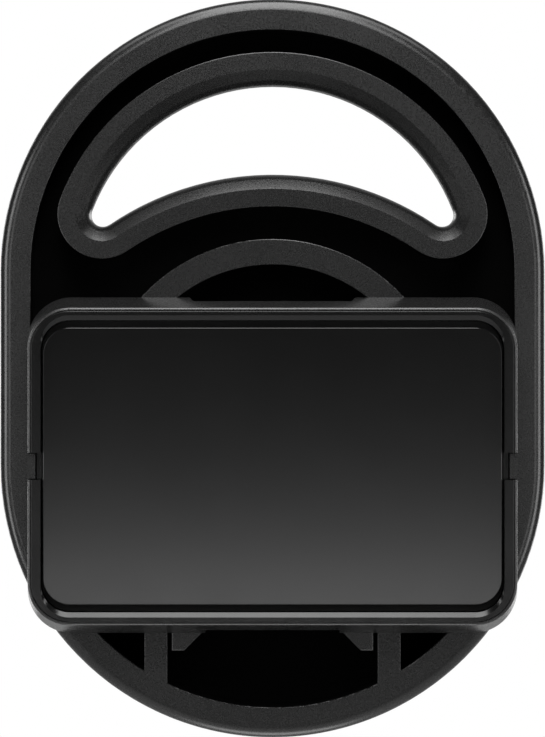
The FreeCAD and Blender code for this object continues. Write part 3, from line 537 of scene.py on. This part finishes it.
def bolt(material):
    """The clamp's bolt: a hexagon head and a threaded shank with a chamfered end."""
    shell = Shell()
    corner = BOLT_HEAD_ACROSS / math.sqrt(3)
    front = shell.loop(circle(0.0, BOLT_LOW.y, BOLT_Z, BOLT_HEAD_SIDES, corner))
    back = shell.loop(circle(0.0, BOLT_SEAT, BOLT_Z, BOLT_HEAD_SIDES, corner))
    shell.face(front)
    shell.wall(front, back, smooth=False)
    row = shell.loop(thread_ring(BOLT_SEAT, 0.0))
    share = BOLT_SIDES // BOLT_HEAD_SIDES
    for side in range(BOLT_HEAD_SIDES):
        after = (side + 1) % BOLT_HEAD_SIDES
        arc = [row[(side * share + step) % BOLT_SIDES] for step in range(share, -1, -1)]
        shell.face((back[side], back[after], *arc))
    rows = round(THREAD_LENGTH / THREAD_PITCH * THREAD_STEPS)
    for number in range(1, rows + 1):
        depth = THREAD_DEPTH * min(1.0, number / THREAD_STEPS)
        following = shell.loop(thread_ring(BOLT_SEAT + THREAD_LENGTH * number / rows, depth))
        shell.wall(row, following)
        row = following
    end = shell.loop(circle(0.0, BOLT_HIGH.y, BOLT_Z, BOLT_SIDES, BOLT_RADIUS - THREAD_DEPTH))
    shell.wall(row, end)
    shell.face(end)
    shell.piece("clamp_bolt_threaded", "clamp_bolt", "clamp_body", material)


def toward(start, clock, off_axis, distance):
    """A place seen from a start at a clock angle and an angle off the camera's axis, both in degrees."""
    tilt = math.radians(off_axis)
    turn = math.radians(clock)
    across = math.sin(tilt)
    return start + distance * Vector((across * math.sin(turn), -math.cos(tilt), across * math.cos(turn)))


def panel(name, first, second, width, brightness, target):
    """A soft rectangular lamp of an even brightness between two edges, facing a target."""
    along = (second - first).normalized()
    middle = (first + second) / 2
    back = middle - target
    back = (back - back.dot(along) * along).normalized()
    data = bpy.data.lights.new(name, "AREA")
    data.shape = "RECTANGLE"
    data.size = width
    data.size_y = (second - first).length
    data.energy = math.pi * data.size * data.size_y * brightness
    light = bpy.data.objects.new(name, data)
    light.visible_camera = False
    light.matrix_world = Matrix((along.cross(back), along, back)).transposed().to_4x4()
    light.location = middle
    bpy.context.scene.collection.objects.link(light)
    return light


def rim_panel(name, start, kind, side=1):
    """A panel seen from a start between two angles off the camera's axis, on its own side or mirrored."""
    first = toward(start, side * kind.clock, *kind.near)
    second = toward(start, side * kind.clock, *kind.far)
    return panel(name, first, second, kind.width, kind.brightness, HEAD_MIDDLE)


def graded(light, fall):
    """Makes a panel's brightness fall by a factor from its first edge to its second."""
    graph = Graph(light.data)
    spot = graph.add("ShaderNodeNewGeometry").outputs["Parametric"]
    rise = graph.add("ShaderNodeSeparateXYZ", {0: spot}).outputs["Y"]
    glow = graph.add("ShaderNodeEmission", {"Color": WHITE, "Strength": graph.math("POWER", fall, rise)})
    graph.add("ShaderNodeOutputLight", {"Surface": glow.outputs[0]})


def lights():
    """Panels round the head, each placed from the stretch of rim that it lights."""
    top = Vector((0.0, RIM_FRONT, HEAD_RISE + HEAD_RADIUS))
    bottom = Vector((0.0, RIM_FRONT, -HEAD_RADIUS))
    rim_panel("top_front", top, TOP_FRONT)
    rim_panel("top_back", top, TOP_BACK)
    for name, side in SIDES:
        rim = Vector((side * HEAD_RADIUS, RIM_FRONT, HEAD_RISE / 2))
        rim_panel(f"{name}_wing", top, WING, side)
        rim_panel(f"{name}_panel", rim, SIDE, side)
        rim_panel(f"{name}_fill", rim, FILL, side)
        rim_panel(f"{name}_back", HEAD_MIDDLE, BACK, side)
    rim_panel("low_panel", bottom, LOW)
    low_edge = Vector((0.0, FRONT_Y, FRONT_LOW))
    high_edge = Vector((0.0, FRONT_Y, FRONT_HIGH))
    front = panel("front_panel", low_edge, high_edge, FRONT_WIDTH, FRONT_BRIGHTNESS, HEAD_MIDDLE)
    graded(front, FRONT_FALL)


def background_share(graph, behind):
    """How much of the white background a ray sees: the camera all, mirrored or bent rays some of it."""
    path = graph.add("ShaderNodeLightPath")
    bent = graph.math("MAXIMUM", path.outputs["Is Glossy Ray"], path.outputs["Is Transmission Ray"])
    mirrored = graph.math("MULTIPLY", graph.math("MULTIPLY", bent, behind), MIRRORED_SHARE)
    return graph.math("MAXIMUM", path.outputs["Is Camera Ray"], mirrored)


def world():
    """A dim studio that is brighter behind the part, with a white background."""
    scene = bpy.context.scene
    scene.world = bpy.data.worlds.new("studio")
    graph = Graph(scene.world)
    direction = graph.add("ShaderNodeTexCoord").outputs["Generated"]
    way = graph.add("ShaderNodeSeparateXYZ", {0: direction}).outputs["Y"]
    share = background_share(graph, graph.ramp(way, *BACKGROUND_TURN))
    level = graph.ramp(way, *ROOM_TURN, ROOM_FRONT, ROOM_BACK)
    room = graph.add("ShaderNodeBackground", {"Color": WHITE, "Strength": level})
    white = graph.add("ShaderNodeBackground", {"Color": WHITE, "Strength": WHITE_STRENGTH})
    mixed = graph.add("ShaderNodeMixShader", {0: share, 1: room.outputs[0], 2: white.outputs[0]})
    graph.add("ShaderNodeOutputWorld", {"Surface": mixed.outputs[0]})


def floor_material():
    """A pale floor that takes the shadow near the part and runs into the white background."""
    material, graph = new_material("floor_pale")
    split = graph.add("ShaderNodeSeparateXYZ", {0: graph.place()})
    away = graph.add("ShaderNodeCombineXYZ", {"X": split.outputs["X"], "Y": split.outputs["Y"]})
    radius = graph.add("ShaderNodeVectorMath", {0: away.outputs[0]}, operation="LENGTH").outputs["Value"]
    seen = background_share(graph, graph.ramp(split.outputs["Y"], FLOOR_NEAR, FLOOR_FAR))
    share = graph.math("MULTIPLY", seen, graph.ramp(radius, FLOOR_NEAR, FLOOR_FAR))
    paper = graph.noise(graph.place(), 1 / FLOOR_GRAIN)
    colour = graph.blend(paper, grey(FLOOR_DARK), grey(FLOOR_LIGHT))
    pale = surface(graph, colour, FLOOR_ROUGHNESS, specular=FLOOR_GLOSS)
    white = graph.add("ShaderNodeEmission", {"Color": WHITE, "Strength": WHITE_STRENGTH}).outputs[0]
    close(graph, graph.add("ShaderNodeMixShader", {0: share, 1: pale, 2: white}).outputs[0])
    return material


def floor():
    """A wide floor under the part."""
    mesh = bpy.data.meshes.new("floor")
    half = FLOOR_SIZE / 2
    corners = [(-half, -half, 0), (half, -half, 0), (half, half, 0), (-half, half, 0)]
    mesh.from_pydata(corners, [], [(0, 1, 2, 3)])
    mesh.materials.append(floor_material())
    plane = bpy.data.objects.new("floor", mesh)
    plane.location = (0, 0, cad_low.z - FLOOR_DROP)
    bpy.context.scene.collection.objects.link(plane)


def camera():
    """A long lens straight in front of the head, framed as the photograph is."""
    data = bpy.data.cameras.new("camera")
    data.sensor_width = SENSOR
    data.lens = SENSOR * CAMERA_DISTANCE / (IMAGE_HEIGHT * PIXEL)
    data.clip_start = CAMERA_NEAREST
    data.clip_end = CAMERA_FARTHEST
    eye = bpy.data.objects.new("camera", data)
    x = (IMAGE_WIDTH / 2 - HEAD_MIDDLE_PIXEL_X) * PIXEL
    z = HEAD_RISE / 2 - (IMAGE_HEIGHT / 2 - HEAD_MIDDLE_PIXEL_Y) * PIXEL
    eye.location = (x, RIM_FRONT + RIM_ROUND - CAMERA_DISTANCE, z)
    eye.rotation_euler = (math.pi / 2, 0, 0)
    bpy.context.scene.collection.objects.link(eye)
    bpy.context.scene.camera = eye


finishes = dress()
screws(finishes["steel"])
bolt(finishes["steel"])
world()
floor()
lights()
camera()
bpy.context.scene.view_settings.view_transform = "Standard"
